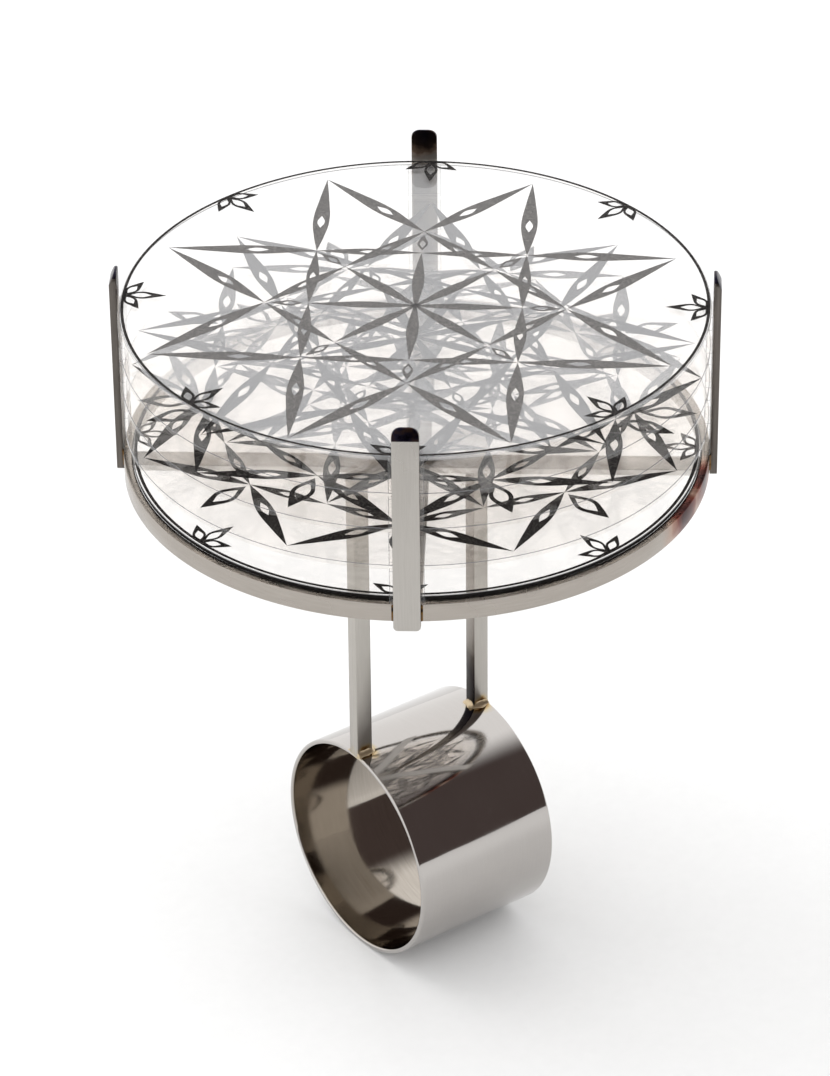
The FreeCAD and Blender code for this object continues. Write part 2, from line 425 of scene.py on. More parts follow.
@dataclass(frozen=True)
class StudioPaper(Finish):
    """White background paper under the ring."""

    def surface(self, tree: Tree) -> Socket:
        """Build a plain white with a hardly visible tooth."""
        return add_node(tree, "ShaderNodeBsdfDiffuse", {},
                        {"Color": blend(tree, speckle(tree, 1.0), "dedede",
                                        "e2e2e2")}).outputs[0]


# ---- shaping


def sharp_edges(bm: bmesh.types.BMesh, least_degrees: float = 30) -> list[Any]:
    """Return the edges where two faces meet at more than this angle."""
    least = math.radians(least_degrees)
    return [edge for edge in bm.edges
            if len(edge.link_faces) == 2 and edge.calc_face_angle(0.0) > least]


def soften(bm: bmesh.types.BMesh, edges: Sequence[Any], width: float,
           segments: int = 2) -> list[Any]:
    """Bevel edges by a width in millimetres and return the new faces."""
    made = bmesh.ops.bevel(bm, geom=list(edges), offset=width, offset_type="OFFSET",
                           segments=segments, profile=0.5, affect="EDGES", material=-1,
                           clamp_overlap=True)
    return made["faces"]


def add_bar(bm: bmesh.types.BMesh, size: Sequence[float], middle: Sequence[float],
            turn: float = 0.0) -> list[Any]:
    """Add a bar and return its vertices.

    Args:
        bm: The mesh.
        size: Its length, width and height.
        middle: Its middle, before it is turned about +Z.
        turn: The turn in radians.

    Returns:
        The new vertices.
    """
    made = bmesh.ops.create_cube(bm, size=1.0)["verts"]
    place = (Matrix.Rotation(turn, 4, "Z") @ Matrix.Translation(Vector(middle))
             @ Matrix.Diagonal((*size, 1.0)))
    bmesh.ops.transform(bm, matrix=place, verts=made)
    return made


def spin_section(bm: bmesh.types.BMesh, corners: Sequence[Point], axis: Point,
                 steps: int) -> None:
    """Spin a closed section about an axis through the origin.

    Args:
        bm: The mesh.
        corners: The section's corners, in order.
        axis: The axis of the spin.
        steps: How many steps a full turn takes.
    """
    verts = [bm.verts.new(corner) for corner in corners]
    edges = [bm.edges.new((a, b)) for a, b in zip(verts, verts[1:] + verts[:1])]
    bmesh.ops.spin(bm, geom=verts + edges, cent=(0, 0, 0), axis=axis,
                   angle=math.tau, steps=steps, use_merge=True, use_duplicate=False)
    bmesh.ops.remove_doubles(bm, verts=bm.verts, dist=1e-5)
    bmesh.ops.recalc_face_normals(bm, faces=bm.faces)


def extrude_outline(bm: bmesh.types.BMesh, outline: Sequence[Point], depth: Point,
                    place: Matrix) -> None:
    """Extrude a flat outline into a solid and put it in place.

    Args:
        bm: The mesh.
        outline: The outline's corners, in order.
        depth: How far it is extruded, as a vector.
        place: Where the solid then goes.
    """
    verts = [bm.verts.new(point) for point in outline]
    face = bm.faces.new(verts)
    made = bmesh.ops.extrude_face_region(bm, geom=[face])["geom"]
    top = [item for item in made if isinstance(item, bmesh.types.BMVert)]
    bmesh.ops.translate(bm, vec=depth, verts=top)
    bmesh.ops.transform(bm, matrix=place, verts=verts + top)
    bmesh.ops.recalc_face_normals(bm, faces=bm.faces)


def publish(bm: bmesh.types.BMesh, name: str, body: str, finishes: Sequence[Finish],
            replaces: Sequence[str] = (),
            smooth_degrees: float = 32) -> bpy.types.Object:
    """Turn a mesh in millimetres into a piece that rides on a body.

    Args:
        bm: The finished mesh, which is freed.
        name: The piece's name.
        body: The CAD body that it moves with.
        finishes: Its finishes, in the order of its faces' material numbers.
        replaces: The CAD nodes that it stands for.
        smooth_degrees: Edges sharper than this stay sharp.

    Returns:
        The piece.
    """
    bmesh.ops.scale(bm, vec=(MM, MM, MM), verts=bm.verts)
    mesh = bpy.data.meshes.new(name)
    bm.to_mesh(mesh)
    bm.free()
    for finish in finishes:
        mesh.materials.append(finish.material())
    mesh.shade_smooth()
    mesh.set_sharp_from_angle(angle=math.radians(smooth_degrees))
    piece = bpy.data.objects.new(name, mesh)
    bpy.context.scene.collection.objects.link(piece)
    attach(piece, body)
    if replaces:
        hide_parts(*replaces)
    LOG.info("%s: %d faces on %s", name, len(mesh.polygons), body)
    return piece


# ---- band, posts


@dataclass
class FingerBand:
    """The wide thin tube that goes on the finger.

    Attributes:
        bore_skin: Faces within this of the bore have the inside's finish.
        stain_x, stain_y: Where the heat stain at each post lies.
    """

    bore_radius: float = 9.1
    bore_skin: float = 0.05
    rim_round: float = 0.18
    steps: int = 192
    stain_x: float = 5.8
    stain_y: float = -0.4

    def build(self) -> None:
        """Spin the band's section about the finger's axis and soften its rims."""
        low, high = box_mm("finger_band")
        inner, outer = self.bore_radius, high.z
        bm = bmesh.new()
        spin_section(bm, [(low.x, 0, inner), (high.x, 0, inner), (high.x, 0, outer),
                          (low.x, 0, outer)], (1, 0, 0), self.steps)
        soften(bm, sharp_edges(bm, 60), self.rim_round, 4)
        for face in bm.faces:
            middle = face.calc_center_median()
            if math.hypot(middle.y, middle.z) < inner + self.bore_skin:
                face.material_index = 1
        feet = tuple((side * self.stain_x, self.stain_y, outer) for side in (-1, 1))
        publish(bm, "polished_band", ROOT_BODY,
                [Steel("polished_stainless_sheet", colour="bab6b3", streak="b3afab",
                       roughness=(0.05, 0.09), grain=Grain.ACROSS_BAND, line_mm=0.12,
                       wave=0.03, joints=feet, reach=1.5),
                 Steel("polished_stainless_inside", colour="b8b1a8", streak="9c948a",
                       roughness=(0.05, 0.1), grain=Grain.ACROSS_BAND, line_mm=0.12,
                       wave=0.03)],
                ["finger_band"])


@dataclass
class Posts:
    """The two upright bars on the band's crown, their solder, and the bridge.

    Attributes:
        foot_level: Where a bar starts, inside the band's wall.
        stain_and_shade_level: Where its heat stain and the painted shade on its inner face are
            darkest.
        shaded_strip: How much of a bar beside its inner face is darkened with painted shade.
        fillet_reach, fillet_tall: How far the solder goes over the band and up the bar.
        fillet_sink: How deep its edge lies in the band.
        margin: How far it keeps inside the band's rims, and reaches into the bar.
    """

    edge: float = 0.1
    foot_level: float = 9.3
    stain_and_shade_level: float = 9.7
    shaded_strip: float = 0.32
    fillet_reach: float = 0.62
    fillet_tall: float = 0.75
    fillet_sink: float = 0.03
    fillet_sides: int = 40
    fillet_steps: int = 6
    margin: float = 0.02

    def build(self) -> None:
        """Build both posts, the solder at their feet and the bridge."""
        for side, node, solder in ((1, "post_front", "foot_solder_front"),
                                   (-1, "post_rear", "foot_solder_rear")):
            self.build_post(node, side)
            self.build_foot(node, solder)
        low, high = box_mm("bridge_bar")
        bm = bmesh.new()
        add_bar(bm, high - low, (low + high) / 2)
        soften(bm, bm.edges, self.edge, 2)
        publish(bm, "bridge", ROOT_BODY, [self.sanded("bridge_sanded_steel", ())],
                ["bridge_bar"])

    @staticmethod
    def sanded(name: str, joints: tuple[Point, ...]) -> Steel:
        """Return the sanded steel of a bar, stained near its joints."""
        return Steel(name, colour="bdb9b3", streak="a9a59e", roughness=(0.32, 0.42),
                     joints=joints, reach=1.0)

    def build_post(self, node: str, inner_side: int) -> None:
        """Build one post.

        Args:
            node: The CAD node that it stands for.
            inner_side: 1 where its inner face looks along +X, or -1.
        """
        low, high = box_mm(node)
        low.z = self.foot_level
        bm = bmesh.new()
        add_bar(bm, high - low, (low + high) / 2)
        soften(bm, sharp_edges(bm), self.edge, 2)
        edge = (high.x if inner_side > 0 else low.x) - inner_side * self.shaded_strip
        for face in bm.faces:
            if (face.calc_center_median().x - edge) * inner_side > 0:
                face.material_index = 1
        middle = (low + high) / 2
        joints = ((middle.x, low.y, self.stain_and_shade_level), (middle.x, middle.y, self.stain_and_shade_level))
        # The inner face gets darker steel, darkest at the foot and fading upward: painted shade
        # and a painted dark reflection.
        shaded_inner = Steel(f"{node}_shaded_inner_steel", colour="a49e97", streak="87817b",
                       roughness=(0.25, 0.38), joints=joints[1:], reach=9.0,
                       tints=("5a534c", "2b2627", "121018"))
        publish(bm, f"{node}_bar", ROOT_BODY,
                [self.sanded(f"{node}_sanded_steel", joints), shaded_inner],
                [node])

    def build_foot(self, node: str, solder: str) -> None:
        """Build the solder that climbs from the band onto a post.

        Args:
            node: The post's CAD node.
            solder: The solder's CAD node.
        """
        low, high = box_mm(node)
        band_low, band_high = box_mm("finger_band")
        middle, crown = (low + high) / 2, band_high.z
        half = (high - low) / 2
        bm = bmesh.new()
        ring = bmesh.ops.create_circle(bm, radius=1.0, segments=self.fillet_sides)["verts"]
        edges = list(bm.edges)
        rings = [ring]
        for _ in range(self.fillet_steps):
            made = bmesh.ops.extrude_edge_only(bm, edges=edges)["geom"]
            rings.append([item for item in made if isinstance(item, bmesh.types.BMVert)])
            edges = [item for item in made if isinstance(item, bmesh.types.BMEdge)
                     and all(v in rings[-1] for v in item.verts)]
        for step, row in enumerate(rings):
            share = step / self.fillet_steps
            for vert in row:
                turn = math.atan2(vert.co.y, vert.co.x)
                out = (1 - share) ** 1.8 * self.fillet_reach
                out *= 0.8 + 0.45 * noise.noise(Vector((middle.x, turn * 1.5, 3.0)))
                # A rounded rectangle round the post, pushed out by the fillet.
                across = (abs(math.cos(turn)) ** 4 / half.x ** 4
                          + abs(math.sin(turn)) ** 4 / half.y ** 4) ** -0.25
                reach = across + out - self.margin
                x = middle.x + reach * math.cos(turn)
                x = min(max(x, band_low.x + self.margin), band_high.x - self.margin)
                y = middle.y + reach * math.sin(turn)
                climb = 0.82 + 0.3 * noise.noise(Vector((turn, middle.x, 8.0)))
                rise = share ** 1.6 * self.fillet_tall * climb
                level = math.sqrt(crown ** 2 - y ** 2) - self.fillet_sink + rise
                vert.co = (x, y, level)
        bmesh.ops.contextual_create(bm, geom=edges)
        bmesh.ops.recalc_face_normals(bm, faces=bm.faces)
        publish(bm, f"{solder}_fillet", ROOT_BODY, [Solder("hard_solder")],
                [solder], 60)


# ---- head frame


@dataclass
class HeadFrame:
    """The hoop, the crossbars under it and the four claws outside it.

    Attributes:
        wall, edge: The hoop's thickness, and how far its edges are broken.
        heat_degrees: Where heat stains lie on the hoop, about +Z.
        heat_drop, soot_drop: How far below its top, and below a claw's tip.
        bar_inset: How far a crossbar's ends lie inside the hoop's outer face.
        claw_wide: The width of a claw and of a crossbar.
        tip_bevel, tip_slope: How far the slope at a claw's tip goes down and in.
        run_short: How much shorter than the hoop a run of solder is.
        run_gap, run_proud: How far its middle is from the claw's side and the hoop.
    """

    wall: float = 0.7
    edge: float = 0.07
    hoop_steps: int = 256
    heat_degrees: tuple[float, ...] = (-62, -50)
    heat_drop: float = 0.3
    bar_inset: float = 0.05
    bar_edge: float = 0.04
    claw_wide: float = 2.1
    claw_thick: float = 0.6
    strip_edge: float = 0.06
    tip_round: float = 0.72
    foot_round: float = 0.35
    tip_bevel: float = 0.95
    tip_slope: float = 0.4
    soot_drop: float = 0.4
    run_wide: float = 0.2
    run_gap: float = 0.06
    run_proud: float = 0.03
    run_round: float = 0.07
    run_short: float = 0.16

    def build(self) -> None:
        """Build the hoop, crossbars, claws and their solder."""
        self.build_hoop()
        self.build_crossbars()
        for claw in CLAW_SIDES:
            self.build_claw(f"claw_{claw}")
            for number, side in enumerate((-1, 1), start=1):
                self.build_solder_run(claw, number, side)

    def build_hoop(self) -> None:
        """Spin the hoop's section and break its edges."""
        low, high = box_mm("bezel_hoop")
        outer, inner = high.x, high.x - self.wall
        bm = bmesh.new()
        spin_section(bm, [(inner, 0, low.z), (outer, 0, low.z), (outer, 0, high.z),
                          (inner, 0, high.z)], (0, 0, 1), self.hoop_steps)
        soften(bm, sharp_edges(bm, 60), self.edge, 2)
        stains = [polar(outer, angle) for angle in self.heat_degrees]
        publish(bm, "bezel_strip", ROOT_BODY,
                [Steel("hoop_sanded_steel", colour="b0aaa3", streak="9a938b",
                       roughness=(0.2, 0.34), grain=Grain.AROUND, line_mm=0.12,
                       joints=tuple((spot.x, spot.y, high.z - self.heat_drop) for spot in stains),
                       reach=4.4, tints=("a98f80", "6f382c", "35191a"))],
                ["bezel_hoop"])

    def build_crossbars(self) -> None:
        """Build the two strips that are halved into each other."""
        for node, turn, notch_up in (("crossbar_long", node_angle("claw_rear"), True),
                                     ("crossbar_side", node_angle("claw_left"), False)):
            low, high = box_mm(node)
            half_long = box_mm("bezel_hoop")[1].x - self.bar_inset
            half_wide = self.claw_wide / 2
            middle = (low.z + high.z) / 2
            near, far = (high.z, low.z) if notch_up else (low.z, high.z)
            outline = [(-half_long, 0, far), (half_long, 0, far), (half_long, 0, near),
                       (half_wide, 0, near), (half_wide, 0, middle),
                       (-half_wide, 0, middle), (-half_wide, 0, near),
                       (-half_long, 0, near)]
            bm = bmesh.new()
            place = Matrix.Rotation(turn, 4, "Z") @ Matrix.Translation((0, -half_wide, 0))
            extrude_outline(bm, outline, (0, 2 * half_wide, 0), place)
            soften(bm, sharp_edges(bm, 60), self.bar_edge, 1)
            publish(bm, f"{node}_strip", ROOT_BODY,
                    # Paler than the other steel: painted light that makes up for the shade under
                    # the discs.
                    [Steel("crossbar_lightened_steel", colour="d2d0cd", streak="c4c2bf",
                           roughness=(0.3, 0.42))],
                    [node])

    def build_claw(self, node: str) -> None:
        """Build one claw: a strip with round corners and a blackened, sloping tip.

        Args:
            node: The CAD node that it stands for.
        """
        low, high = box_mm(node)
        turn = node_angle(node)
        inner = box_mm("bezel_hoop")[1].x
        outer = inner + self.claw_thick
        bm = bmesh.new()
        add_bar(bm, (self.claw_thick, self.claw_wide, high.z - low.z),
                ((inner + outer) / 2, 0, (low.z + high.z) / 2))
        for level, width in ((high.z, self.tip_round), (low.z, self.foot_round)):
            corners = [edge for edge in bm.edges
                       if all(abs(vert.co.z - level) < SAME for vert in edge.verts)
                       and abs(edge.verts[0].co.y - edge.verts[1].co.y) < SAME]
            soften(bm, corners, width, 6)
        slope = Vector((self.tip_bevel, 0, self.tip_slope)).normalized()
        start = Vector((outer, 0, high.z - self.tip_bevel))
        cut = bmesh.ops.bisect_plane(bm, geom=bm.verts[:] + bm.edges[:] + bm.faces[:],
                                     plane_co=start, plane_no=slope, clear_outer=True)
        rim = [item for item in cut["geom_cut"] if isinstance(item, bmesh.types.BMEdge)]
        slope_face = bmesh.ops.contextual_create(bm, geom=rim)["faces"][0]
        slope_face.material_index = 1
        bmesh.ops.recalc_face_normals(bm, faces=bm.faces)
        for face in bm.faces:
            towards_discs = face.normal.x < -0.9
            sideways, upward = abs(face.normal.y) > 0.9, face.normal.z > 0.5
            if towards_discs:
                face.material_index = 2
            if sideways:
                face.material_index = 3
            if upward:
                face.material_index = 1
        soften(bm, sharp_edges(bm, 25), self.strip_edge, 2)
        bmesh.ops.rotate(bm, cent=(0, 0, 0), verts=bm.verts,
                         matrix=Matrix.Rotation(turn, 3, "Z"))
        tip = (inner * math.cos(turn), inner * math.sin(turn), high.z - self.soot_drop)
        publish(bm, f"{node}_strip", ROOT_BODY,
                [Steel("claw_sanded_steel", colour="b7b3ae", streak="a6a29c",
                       roughness=(0.26, 0.38)),
                 BlackOxide("black_oxide"),
                 Steel(f"{node}_inner_steel", roughness=(0.26, 0.38),
                       joints=(tip,), reach=3.0,
                       tints=("6b5a4d", "241c18", "121014")),
                 # The narrow sides are darker steel: a painted dark reflection.
                 Steel("claw_side_shaded_steel", colour="79736d", streak="433f3c",
                       roughness=(0.28, 0.42), line_mm=0.2)],
                [node])

    def build_solder_run(self, claw: str, number: int, side: int) -> None:
        """Build the thin run of solder in a corner between a claw and the hoop.

        Args:
            claw: Which claw it belongs to.
            number: The number at the end of its CAD node's name.
            side: -1 or 1, the side of the claw that it lies on.
        """
        low, high = box_mm("bezel_hoop")
        y = side * (self.claw_wide / 2 + self.run_gap)
        x = math.sqrt(high.x ** 2 - y ** 2) + self.run_proud
        bm = bmesh.new()
        add_bar(bm, (self.run_wide, self.run_wide, high.z - low.z - self.run_short),
                (x, y, (low.z + high.z) / 2), node_angle(f"claw_{claw}"))
        soften(bm, sharp_edges(bm), self.run_round, 3)
        publish(bm, f"claw_solder_run_{claw}_{number}", ROOT_BODY,
                # Much darker than the solder at the posts: painted shade in the corner between
                # the claw and the hoop.
                [Solder("corner_shaded_solder", bright="6b5a48", stain="141110")],
                [f"claw_solder_{claw}_{number}"])


# ---- sheets


@dataclass
class Discs:
    """The five clear discs, four that turn and one that sits in the hoop."""

    rim_line: float = 0.05
    segments: int = 256

    def build(self) -> None:
        """Build each disc with a clear body and a fine grey line at its rim."""
        finishes = [ClearAcrylic("clear_cast_acrylic"), CutEdge("acrylic_cut_edge"),
                    PrintFilm("print_film"), Toner("gap_shaded_edge", pale="2a2827")]
        for node in ("top_disc", "second_disc", "third_disc", "fourth_disc", "base_disc"):
            both_faces = node in ("top_disc", "base_disc")
            low, high = box_mm(node)
            bm = bmesh.new()
            made = bmesh.ops.create_circle(bm, cap_ends=True, radius=high.x,
                                           segments=self.segments)
            bmesh.ops.translate(bm, vec=(0, 0, low.z), verts=made["verts"])
            top = bmesh.ops.extrude_face_region(bm, geom=bm.faces[:])["geom"]
            lifted = [item for item in top if isinstance(item, bmesh.types.BMVert)]
            bmesh.ops.translate(bm, vec=(0, 0, high.z - low.z), verts=lifted)
            bmesh.ops.recalc_face_normals(bm, faces=bm.faces)
            for face in soften(bm, sharp_edges(bm, 60), self.rim_line, 1):
                level = face.calc_center_median().z
                if both_faces or level > (low.z + high.z) / 2:
                    face.material_index = 1
            for face in bm.faces:
                if node == "top_disc" and face.normal.z < -0.9:
                    face.material_index = 2
                # The base disc's side is black: painted shade of the thin gap between it and the
                # hoop.
                if node == "base_disc" and abs(face.normal.z) < 0.1:
                    face.material_index = 3
            publish(bm, f"{node}_sheet", disc_body(node), finishes, [node],
                    20)


@dataclass
class Spacers:
    """The clear strips on the inner face of each claw that keep the discs apart."""

    thick: float = 0.5
    wide: float = 2.7
    rim_line: float = 0.05

    def build(self) -> None:
        """Build one strip behind each claw at each level."""
        outer = box_mm("bezel_hoop")[1].x
        for level in ("upper", "middle", "lower", "base"):
            for claw in CLAW_SIDES:
                node = f"spacer_{level}_{claw}"
                low, high = box_mm(node)
                bm = bmesh.new()
                add_bar(bm, (self.thick, self.wide, high.z - low.z),
                        (outer - self.thick / 2, 0, (low.z + high.z) / 2),
                        node_angle(node))
                for face in soften(bm, sharp_edges(bm), self.rim_line, 1):
                    face.material_index = 1
                publish(bm, f"{node}_strip", ROOT_BODY,
                        [ClearAcrylic("clear_cast_acrylic"),
                         CutEdge("spacer_cut_edge", tone="77787a", solid=0.3)],
                        [node], 20)


# ---- prints


@dataclass(frozen=True)
class Leaf:
    """A plain slender leaf, pointed at both ends, in millimetres.

    Attributes:
        eye: The length of its open eye, or 0 for a solid leaf.
        belly: Where the leaf is widest, as a share of its length.
    """

    half_width: float
    eye: float = 0.0
    eye_half_width: float = 0.0
    belly: float = 0.5

    def loops(self, length: float) -> list[list[tuple[float, float]]]:
        """Return the points of the outline and of the eye, if it has one.

        Args:
            length: The leaf's length.

        Returns:
            Each loop's points, from its start round to its start.
        """
        wide, shoulder = self.belly * length, self.half_width * 0.62
        loops = [self.closed(0.0, length, [(wide / 2, shoulder), (wide, self.half_width),
                                           ((wide + length) / 2, shoulder)])]
        if self.eye:
            loops.append(self.closed(wide - self.eye / 2, wide + self.eye / 2,
                                     [(wide, self.eye_half_width)]))
        return loops

    @staticmethod
    def closed(start: float, end: float,
               one_side: list[tuple[float, float]]) -> list[tuple[float, float]]:
        """Return a closed outline, from its ends on the leaf's line and one side of it."""
        other = [(x, -y) for x, y in reversed(one_side)]
        return [(start, 0.0), *one_side, (end, 0.0), *other]


@lru_cache(maxsize=None)
def leaf_mesh(leaf: Leaf, length: float, thick: float) -> bpy.types.Mesh:
    """Return a leaf of this length as a flat closed mesh along +X.

    Args:
        leaf: The leaf's shape.
        length: Its length in millimetres.
        thick: The print's thickness in millimetres.

    Returns:
        The mesh, in millimetres.
    """
    curve = bpy.data.curves.new("leaf", "CURVE")
    curve.dimensions, curve.fill_mode = "2D", "BOTH"
    curve.resolution_u, curve.extrude = 5, thick / 2
    for points in leaf.loops(length):
        spline = curve.splines.new("BEZIER")
        spline.bezier_points.add(len(points) - 1)
        spline.use_cyclic_u = True
        for point, (x, y) in zip(spline.bezier_points, points):
            point.co = (x, y, 0.0)
            # The ends lie on the leaf's own line and are sharp. The sides are smooth.
            kind = "AUTO" if y else "VECTOR"
            point.handle_left_type = point.handle_right_type = kind
    holder = bpy.data.objects.new("leaf", curve)
    bpy.context.scene.collection.objects.link(holder)
    bpy.context.view_layer.update()
    depsgraph = bpy.context.evaluated_depsgraph_get()
    mesh = bpy.data.meshes.new_from_object(holder.evaluated_get(depsgraph))
    bpy.data.objects.remove(holder)
    bpy.data.curves.remove(curve)
    return mesh


@dataclass(frozen=True)
class Stroke:
    """A leaf from one point of a sector to another, each as radius and angle.

    A leaf that is over the others lies one layer of print higher where they cross.
    """

    leaf: Leaf
    tail: tuple[float, float]
    head: tuple[float, float]
    over: bool = False


@dataclass(frozen=True)
class Spray:
    """A fan of petals from one point of a sector, each as direction, length and leaf.

    It opens away from the middle of the disc, or towards it where inward is set.
    """

    root: tuple[float, float]
    petals: tuple[tuple[float, float, Leaf], ...]
    inward: bool = False

    def strokes(self) -> list[tuple[Leaf, Vector, Vector]]:
        """Return each petal with the points that it goes between."""
        root = polar(*self.root)
        facing = self.root[1] + (180 if self.inward else 0)
        return [(petal, root + polar(length, facing + spread), root)
                for spread, length, petal in self.petals]


POINT_LEAF = Leaf(0.66, eye=2.0, eye_half_width=0.3, belly=0.6)
SIDE_LEAF = Leaf(0.5, eye=1.6, eye_half_width=0.24)
SPOKE_LEAF = Leaf(0.48)
LOOP_LEAF = Leaf(0.9, eye=2.6, eye_half_width=0.55, belly=0.55)
STEM_PETAL = Leaf(0.55, eye=1.7, eye_half_width=0.34, belly=0.6)
SIDE_PETAL = Leaf(0.52, eye=1.3, eye_half_width=0.32, belly=0.6)
BUD_PETAL = Leaf(0.42, eye=1.2, eye_half_width=0.24, belly=0.6)


def star(radius: float, step: int) -> tuple[Stroke, ...]:
    """Return one sector of the plain star that joins every step-th of eight points.

    A side of the star runs from a point to its own middle as two leaves, which meet
    where it first crosses another side.

    Args:
        radius: The radius of the star's points.
        step: Which point a side goes to, counted round from its own.

    Returns:
        The sector's leaves.
    """
    turn = step * HALF_SECTOR
    middle = radius * math.cos(math.radians(turn))
    crossing = middle / math.cos(math.radians(turn - HALF_SECTOR))
    strokes: list[Stroke] = []
    for side in (1, -1):
        meeting = (crossing, side * HALF_SECTOR)
        strokes.append(Stroke(POINT_LEAF, (radius, 0), meeting))
        strokes.append(Stroke(SIDE_LEAF, meeting, (middle, side * turn), side < 0))
    return tuple(strokes)


def spoked_star(radius: float) -> tuple[Stroke, ...]:
    """Return one sector of the star that joins every third point, with its spoke.

    The spoke runs from just past the disc's middle to the middle of a side.
    """
    reach = radius * math.cos(math.radians(3 * HALF_SECTOR))
    return *star(radius, 3), Stroke(SPOKE_LEAF, (-0.7, HALF_SECTOR), (reach, HALF_SECTOR))


ROSETTE = spoked_star(22.0)
STAR = (*star(22.6, 2), Stroke(LOOP_LEAF, (22.3, HALF_SECTOR), (17.7, HALF_SECTOR)),
        *spoked_star(15.8))
RIM_PETALS = ((-58, 2.5, SIDE_PETAL), (0, 3.3, STEM_PETAL), (58, 2.5, SIDE_PETAL))
TOP_RIM_SPRAY = Spray((22.95, HALF_SECTOR), RIM_PETALS, inward=True)
BASE_RIM_SPRAY = Spray((22.35, HALF_SECTOR), RIM_PETALS, inward=True)
INNER_SPRAY = Spray((8.9, HALF_SECTOR), ((0, 2.5, BUD_PETAL),))


@dataclass
class DiscPrint:
    """The toner pattern on one face of a disc.

    Attributes:
        start: The first sector's direction in degrees about +Z.
        under: Whether the pattern is at the lower face, on the upper side of its film.
        strokes, sprays: The leaves and sprays of one sector.
        ring, line: The outline circle's radius, or 0 for none, and its width.
        thick, clear: The print's thickness, and the gap under it.
    """

    node: str
    start: float
    toner: Toner = Toner("laser_toner")
    under: bool = False
    strokes: tuple[Stroke, ...] = ()
    sprays: tuple[Spray, ...] = ()
    ring: float = 0.0
    line: float = 0.25
    thick: float = 0.012
    clear: float = 0.002
    ring_steps: int = 192

    def build(self, name: str) -> None:
        """Lay one sector's leaves eight times over."""
        low, high = box_mm(self.node)
        level = (low.z if self.under else high.z) + self.thick / 2 + self.clear
        lift = Vector((0, 0, self.thick + self.clear))
        laid = [(stroke.leaf, polar(*stroke.tail) + stroke.over * lift,
                 polar(*stroke.head) + stroke.over * lift) for stroke in self.strokes]
        laid += [petal for spray in self.sprays for petal in spray.strokes()]
        bm = bmesh.new()
        for fold in range(FOLDS):
            turn = Matrix.Rotation(math.radians(self.start + fold * SECTOR), 4, "Z")
            for leaf, tail, head in laid:
                self.lay(bm, leaf, turn @ tail, turn @ head)
        bmesh.ops.translate(bm, vec=(0, 0, level), verts=bm.verts)
        if self.ring:
            self.add_ring(bm, level)
        publish(bm, name, disc_body(self.node), [self.toner], (), 20)

    def lay(self, bm: bmesh.types.BMesh, leaf: Leaf, tail: Vector, head: Vector) -> None:
        """Add one leaf.

        Args:
            bm: The print's mesh.
            leaf: The leaf's shape.
            tail: Where it starts.
            head: Where it ends.
        """
        along = head - tail
        mesh = leaf_mesh(leaf, round(along.length, 4), self.thick)
        before = len(bm.verts)
        bm.from_mesh(mesh)
        bm.verts.ensure_lookup_table()
        place = (Matrix.Translation(tail)
                 @ Matrix.Rotation(math.atan2(along.y, along.x), 4, "Z"))
        bmesh.ops.transform(bm, matrix=place, verts=bm.verts[before:])

    def add_ring(self, bm: bmesh.types.BMesh, level: float) -> None:
        """Add the outline circle near the rim.

        Args:
            bm: The print's mesh.
            level: The height of the print's middle.
        """
        ring = bmesh.new()
        low, high = level - self.thick / 2, level + self.thick / 2
        spin_section(ring, [(self.ring - self.line, 0, low), (self.ring, 0, low),
                            (self.ring, 0, high), (self.ring - self.line, 0, high)],
                     (0, 0, 1), self.ring_steps)
        holder = bpy.data.meshes.new("ring")
        ring.to_mesh(holder)
        ring.free()
        bm.from_mesh(holder)
        bpy.data.meshes.remove(holder)


# ---- studio


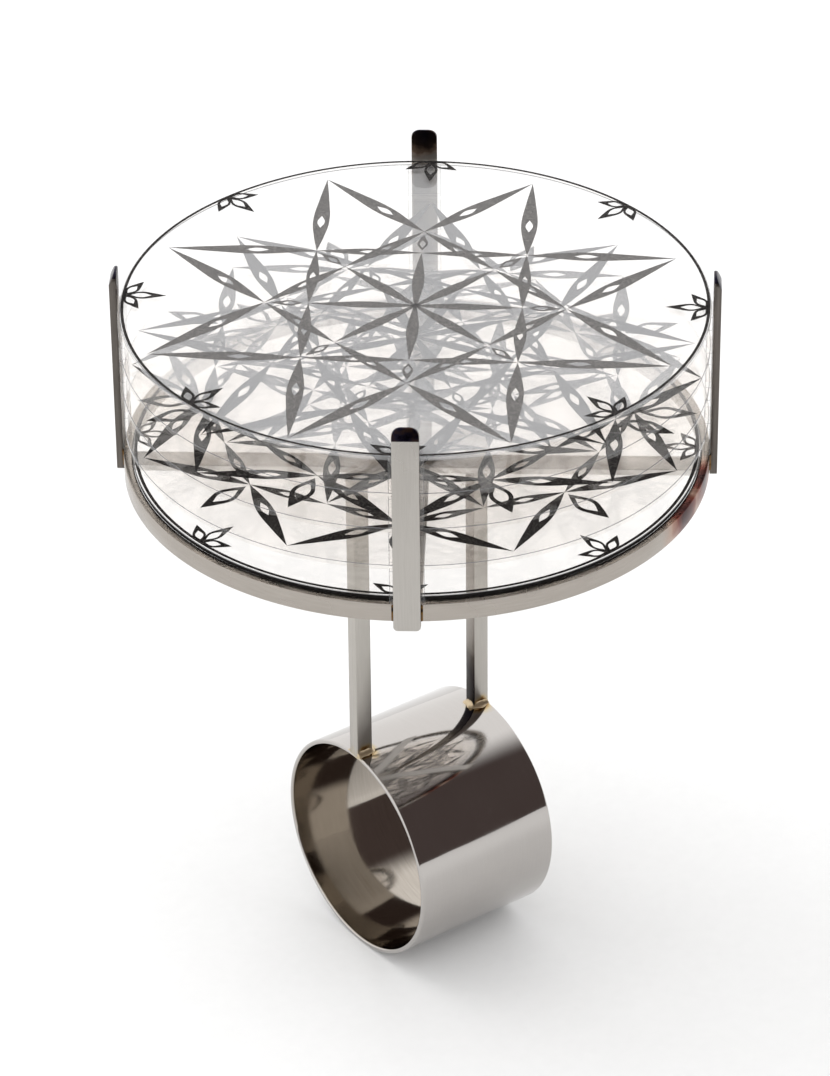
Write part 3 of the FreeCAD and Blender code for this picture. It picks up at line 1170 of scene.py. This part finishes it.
@dataclass
class Studio:
    """The floor, the room, the lamp, which points at the origin, and the camera.

    Attributes:
        floor_radius, floor_drop: The paper's radius and depth under the band, in metres.
        dark_way: The direction of the room's dark side.
        lamp_place, lamp_size: The lamp's place and diameter, in metres.
        yaw, pitch, roll: The camera's direction, how far down it looks, and its lean.
        lens: Its focal length for a 36 mm sensor.
    """

    floor_radius: float = 2.5
    floor_drop: float = 0.00002
    room_strength: float = 1.36
    dark_way: Point = (0.25, -0.96, -0.1)
    lamp_place: Point = (-0.22, 0.35, 0.75)
    lamp_size: float = 0.5
    lamp_watts: float = 1.7
    eye_mm: Point = (-205.15, -283.30, 251.29)
    yaw: float = 54.125
    pitch: float = 32.56
    roll: float = -0.58
    lens: float = 171.7

    def build(self) -> None:
        """Build the floor, world, lamp and camera."""
        self.build_floor()
        self.build_world()
        self.build_lamp()
        self.build_camera()
        scene = bpy.context.scene
        scene.view_settings.view_transform = "Standard"
        scene.cycles.transparent_max_bounces = 64

    def build_floor(self) -> None:
        """Build the white paper just under the band."""
        bm = bmesh.new()
        bmesh.ops.create_circle(bm, cap_ends=True, radius=self.floor_radius, segments=96)
        bmesh.ops.translate(bm, vec=(0, 0, CAD_BOX[0].z - self.floor_drop), verts=bm.verts)
        mesh = bpy.data.meshes.new("studio_floor")
        bm.to_mesh(mesh)
        bm.free()
        mesh.materials.append(StudioPaper("studio_paper").material())
        floor = bpy.data.objects.new("studio_floor", mesh)
        bpy.context.scene.collection.objects.link(floor)

    def build_world(self) -> None:
        """Build a white room with a dark side that shows only in mirror reflections."""
        world = bpy.data.worlds.new("studio_room")
        bpy.context.scene.world = world
        world.use_nodes = True
        tree = world.node_tree
        tree.nodes.clear()
        way = add_node(tree, "ShaderNodeTexCoord").outputs["Generated"]
        dark_side = add_node(tree, "ShaderNodeVectorMath",
                             {"operation": "DOT_PRODUCT", 1: self.dark_way},
                             {0: way})
        share = spread(tree, dark_side.outputs["Value"], {"From Min": 0.0, "From Max": 0.42},
                       "SMOOTHSTEP")
        mirrored = add_node(tree, "ShaderNodeLightPath").outputs["Is Glossy Ray"]
        in_mirror = add_node(tree, "ShaderNodeMath", {"operation": "MULTIPLY"},
                             {0: share, 1: mirrored}).outputs[0]
        back = add_node(tree, "ShaderNodeBackground", {"Strength": self.room_strength},
                        {"Color": blend(tree, in_mirror, "ffffff", "4c4240")})
        add_node(tree, "ShaderNodeOutputWorld", links={"Surface": back.outputs[0]})

    def build_lamp(self) -> None:
        """Build one large soft lamp above and behind the ring."""
        light = bpy.data.lights.new("softbox", "AREA")
        light.shape, light.size, light.energy = "DISK", self.lamp_size, self.lamp_watts
        lamp = bpy.data.objects.new("softbox", light)
        lamp.location = Vector(self.lamp_place)
        lamp.rotation_euler = (-lamp.location).to_track_quat("-Z", "Y").to_euler()
        lamp.visible_glossy = False
        bpy.context.scene.collection.objects.link(lamp)

    def build_camera(self) -> None:
        """Build the camera from its place, its direction and its roll."""
        data = bpy.data.cameras.new("camera")
        data.sensor_width, data.lens = 36.0, self.lens
        data.clip_start, data.clip_end = 0.01, 20.0
        camera = bpy.data.objects.new("camera", data)
        yaw, pitch, roll = (math.radians(v) for v in (self.yaw, self.pitch, self.roll))
        quarter = math.pi / 2
        turn = (Matrix.Rotation(yaw - quarter, 4, "Z")
                @ Matrix.Rotation(quarter - pitch, 4, "X") @ Matrix.Rotation(roll, 4, "Z"))
        camera.matrix_world = Matrix.Translation(Vector(self.eye_mm) * MM) @ turn
        bpy.context.scene.collection.objects.link(camera)
        bpy.context.scene.camera = camera


def build_prints() -> None:
    """Build the pattern of every disc, in one of two turns half a sector apart."""
    even, odd = 5.4, -17.1
    # Toner on the milky film is a dark grey.
    filmed = Toner("laser_toner_on_film", dark="3f3d3c", pale="73706e")
    for name, pattern in (
            ("top_disc_rim_print",
             DiscPrint("top_disc", odd, sprays=(TOP_RIM_SPRAY,), ring=23.16, line=0.24)),
            ("top_disc_rosette_print",
             DiscPrint("top_disc", odd, filmed, True, ROSETTE, (INNER_SPRAY,))),
            ("second_disc_print",
             DiscPrint("second_disc", even, strokes=ROSETTE, sprays=(INNER_SPRAY,))),
            ("third_disc_print", DiscPrint("third_disc", even, strokes=STAR)),
            ("fourth_disc_print", DiscPrint("fourth_disc", odd, strokes=STAR)),
            ("base_disc_print",
             DiscPrint("base_disc", odd, sprays=(BASE_RIM_SPRAY,), ring=22.56, line=0.26))):
        pattern.build(name)


def main() -> None:
    """Build the ring and the studio, in order."""
    logging.basicConfig(level=logging.INFO, format="%(message)s")
    steps: Sequence[tuple[str, Callable[[], None]]] = (
        ("finger band", FingerBand().build), ("posts", Posts().build),
        ("head frame", HeadFrame().build), ("discs", Discs().build),
        ("spacers", Spacers().build), ("prints", build_prints),
        ("studio", Studio().build))
    for label, build in steps:
        LOG.info("building the %s", label)
        build()


if __name__ == "__main__":
    main()
